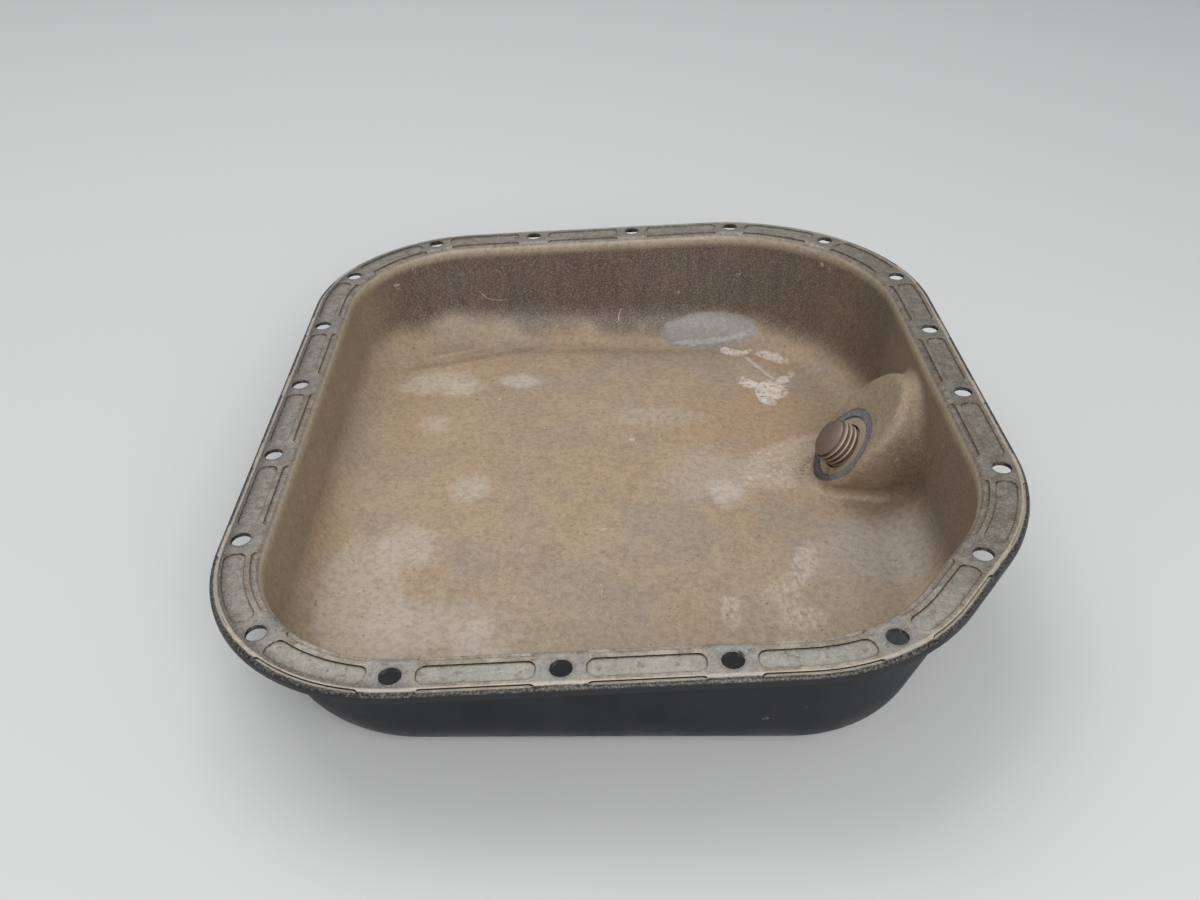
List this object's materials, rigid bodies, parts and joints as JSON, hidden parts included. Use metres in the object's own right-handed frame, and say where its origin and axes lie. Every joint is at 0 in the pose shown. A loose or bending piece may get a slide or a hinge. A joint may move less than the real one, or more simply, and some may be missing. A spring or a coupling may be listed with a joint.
{
  "type": "engine oil pan",
  "caption": "Shallow pressed-steel engine oil pan with a stamped, bolted flange, a floor sloping to a recessed drain seat, and a threaded drain plug.",
  "frame": {"origin": "centre of the bolt rectangle on the flange's sealing face", "axes": "+Z out of the open side, normal to the sealing face; +X towards the drain; +Y along the longer side, away from the cut-off corner"},
  "size_m": [0.291, 0.329, 0.0633],
  "materials": {
    "pan_steel": "oil-varnished pressed steel inside, satin black paint outside",
    "nut_steel": "turned steel, oil-stained",
    "plug_steel": "zinc-plated steel, oil-stained",
    "gasket_aluminium": "dull"
  },
  "bodies": {
    "pan": {"oil_pan": "pan_steel", "drain_nut": "nut_steel"},
    "washer": {"drain_gasket": "gasket_aluminium"},
    "plug": {"drain_plug": "plug_steel"}
  },
  "joints": [
    {"name": "plug_travel", "type": "slide", "parent": "pan", "child": "washer", "axis": [0.788, 0, -0.6157], "range_m": [0, 0.015]},
    {"name": "plug_turn", "type": "hinge", "parent": "washer", "child": "plug", "pos_m": [0.0981, 0.0114, -0.0435], "axis": [0.788, 0, -0.6157], "range_deg": [0, 2160]}
  ],
  "couplings": [
    {"joint": "plug_travel", "follows": "plug_turn", "m_per_rad": 0.00039789}
  ]
}
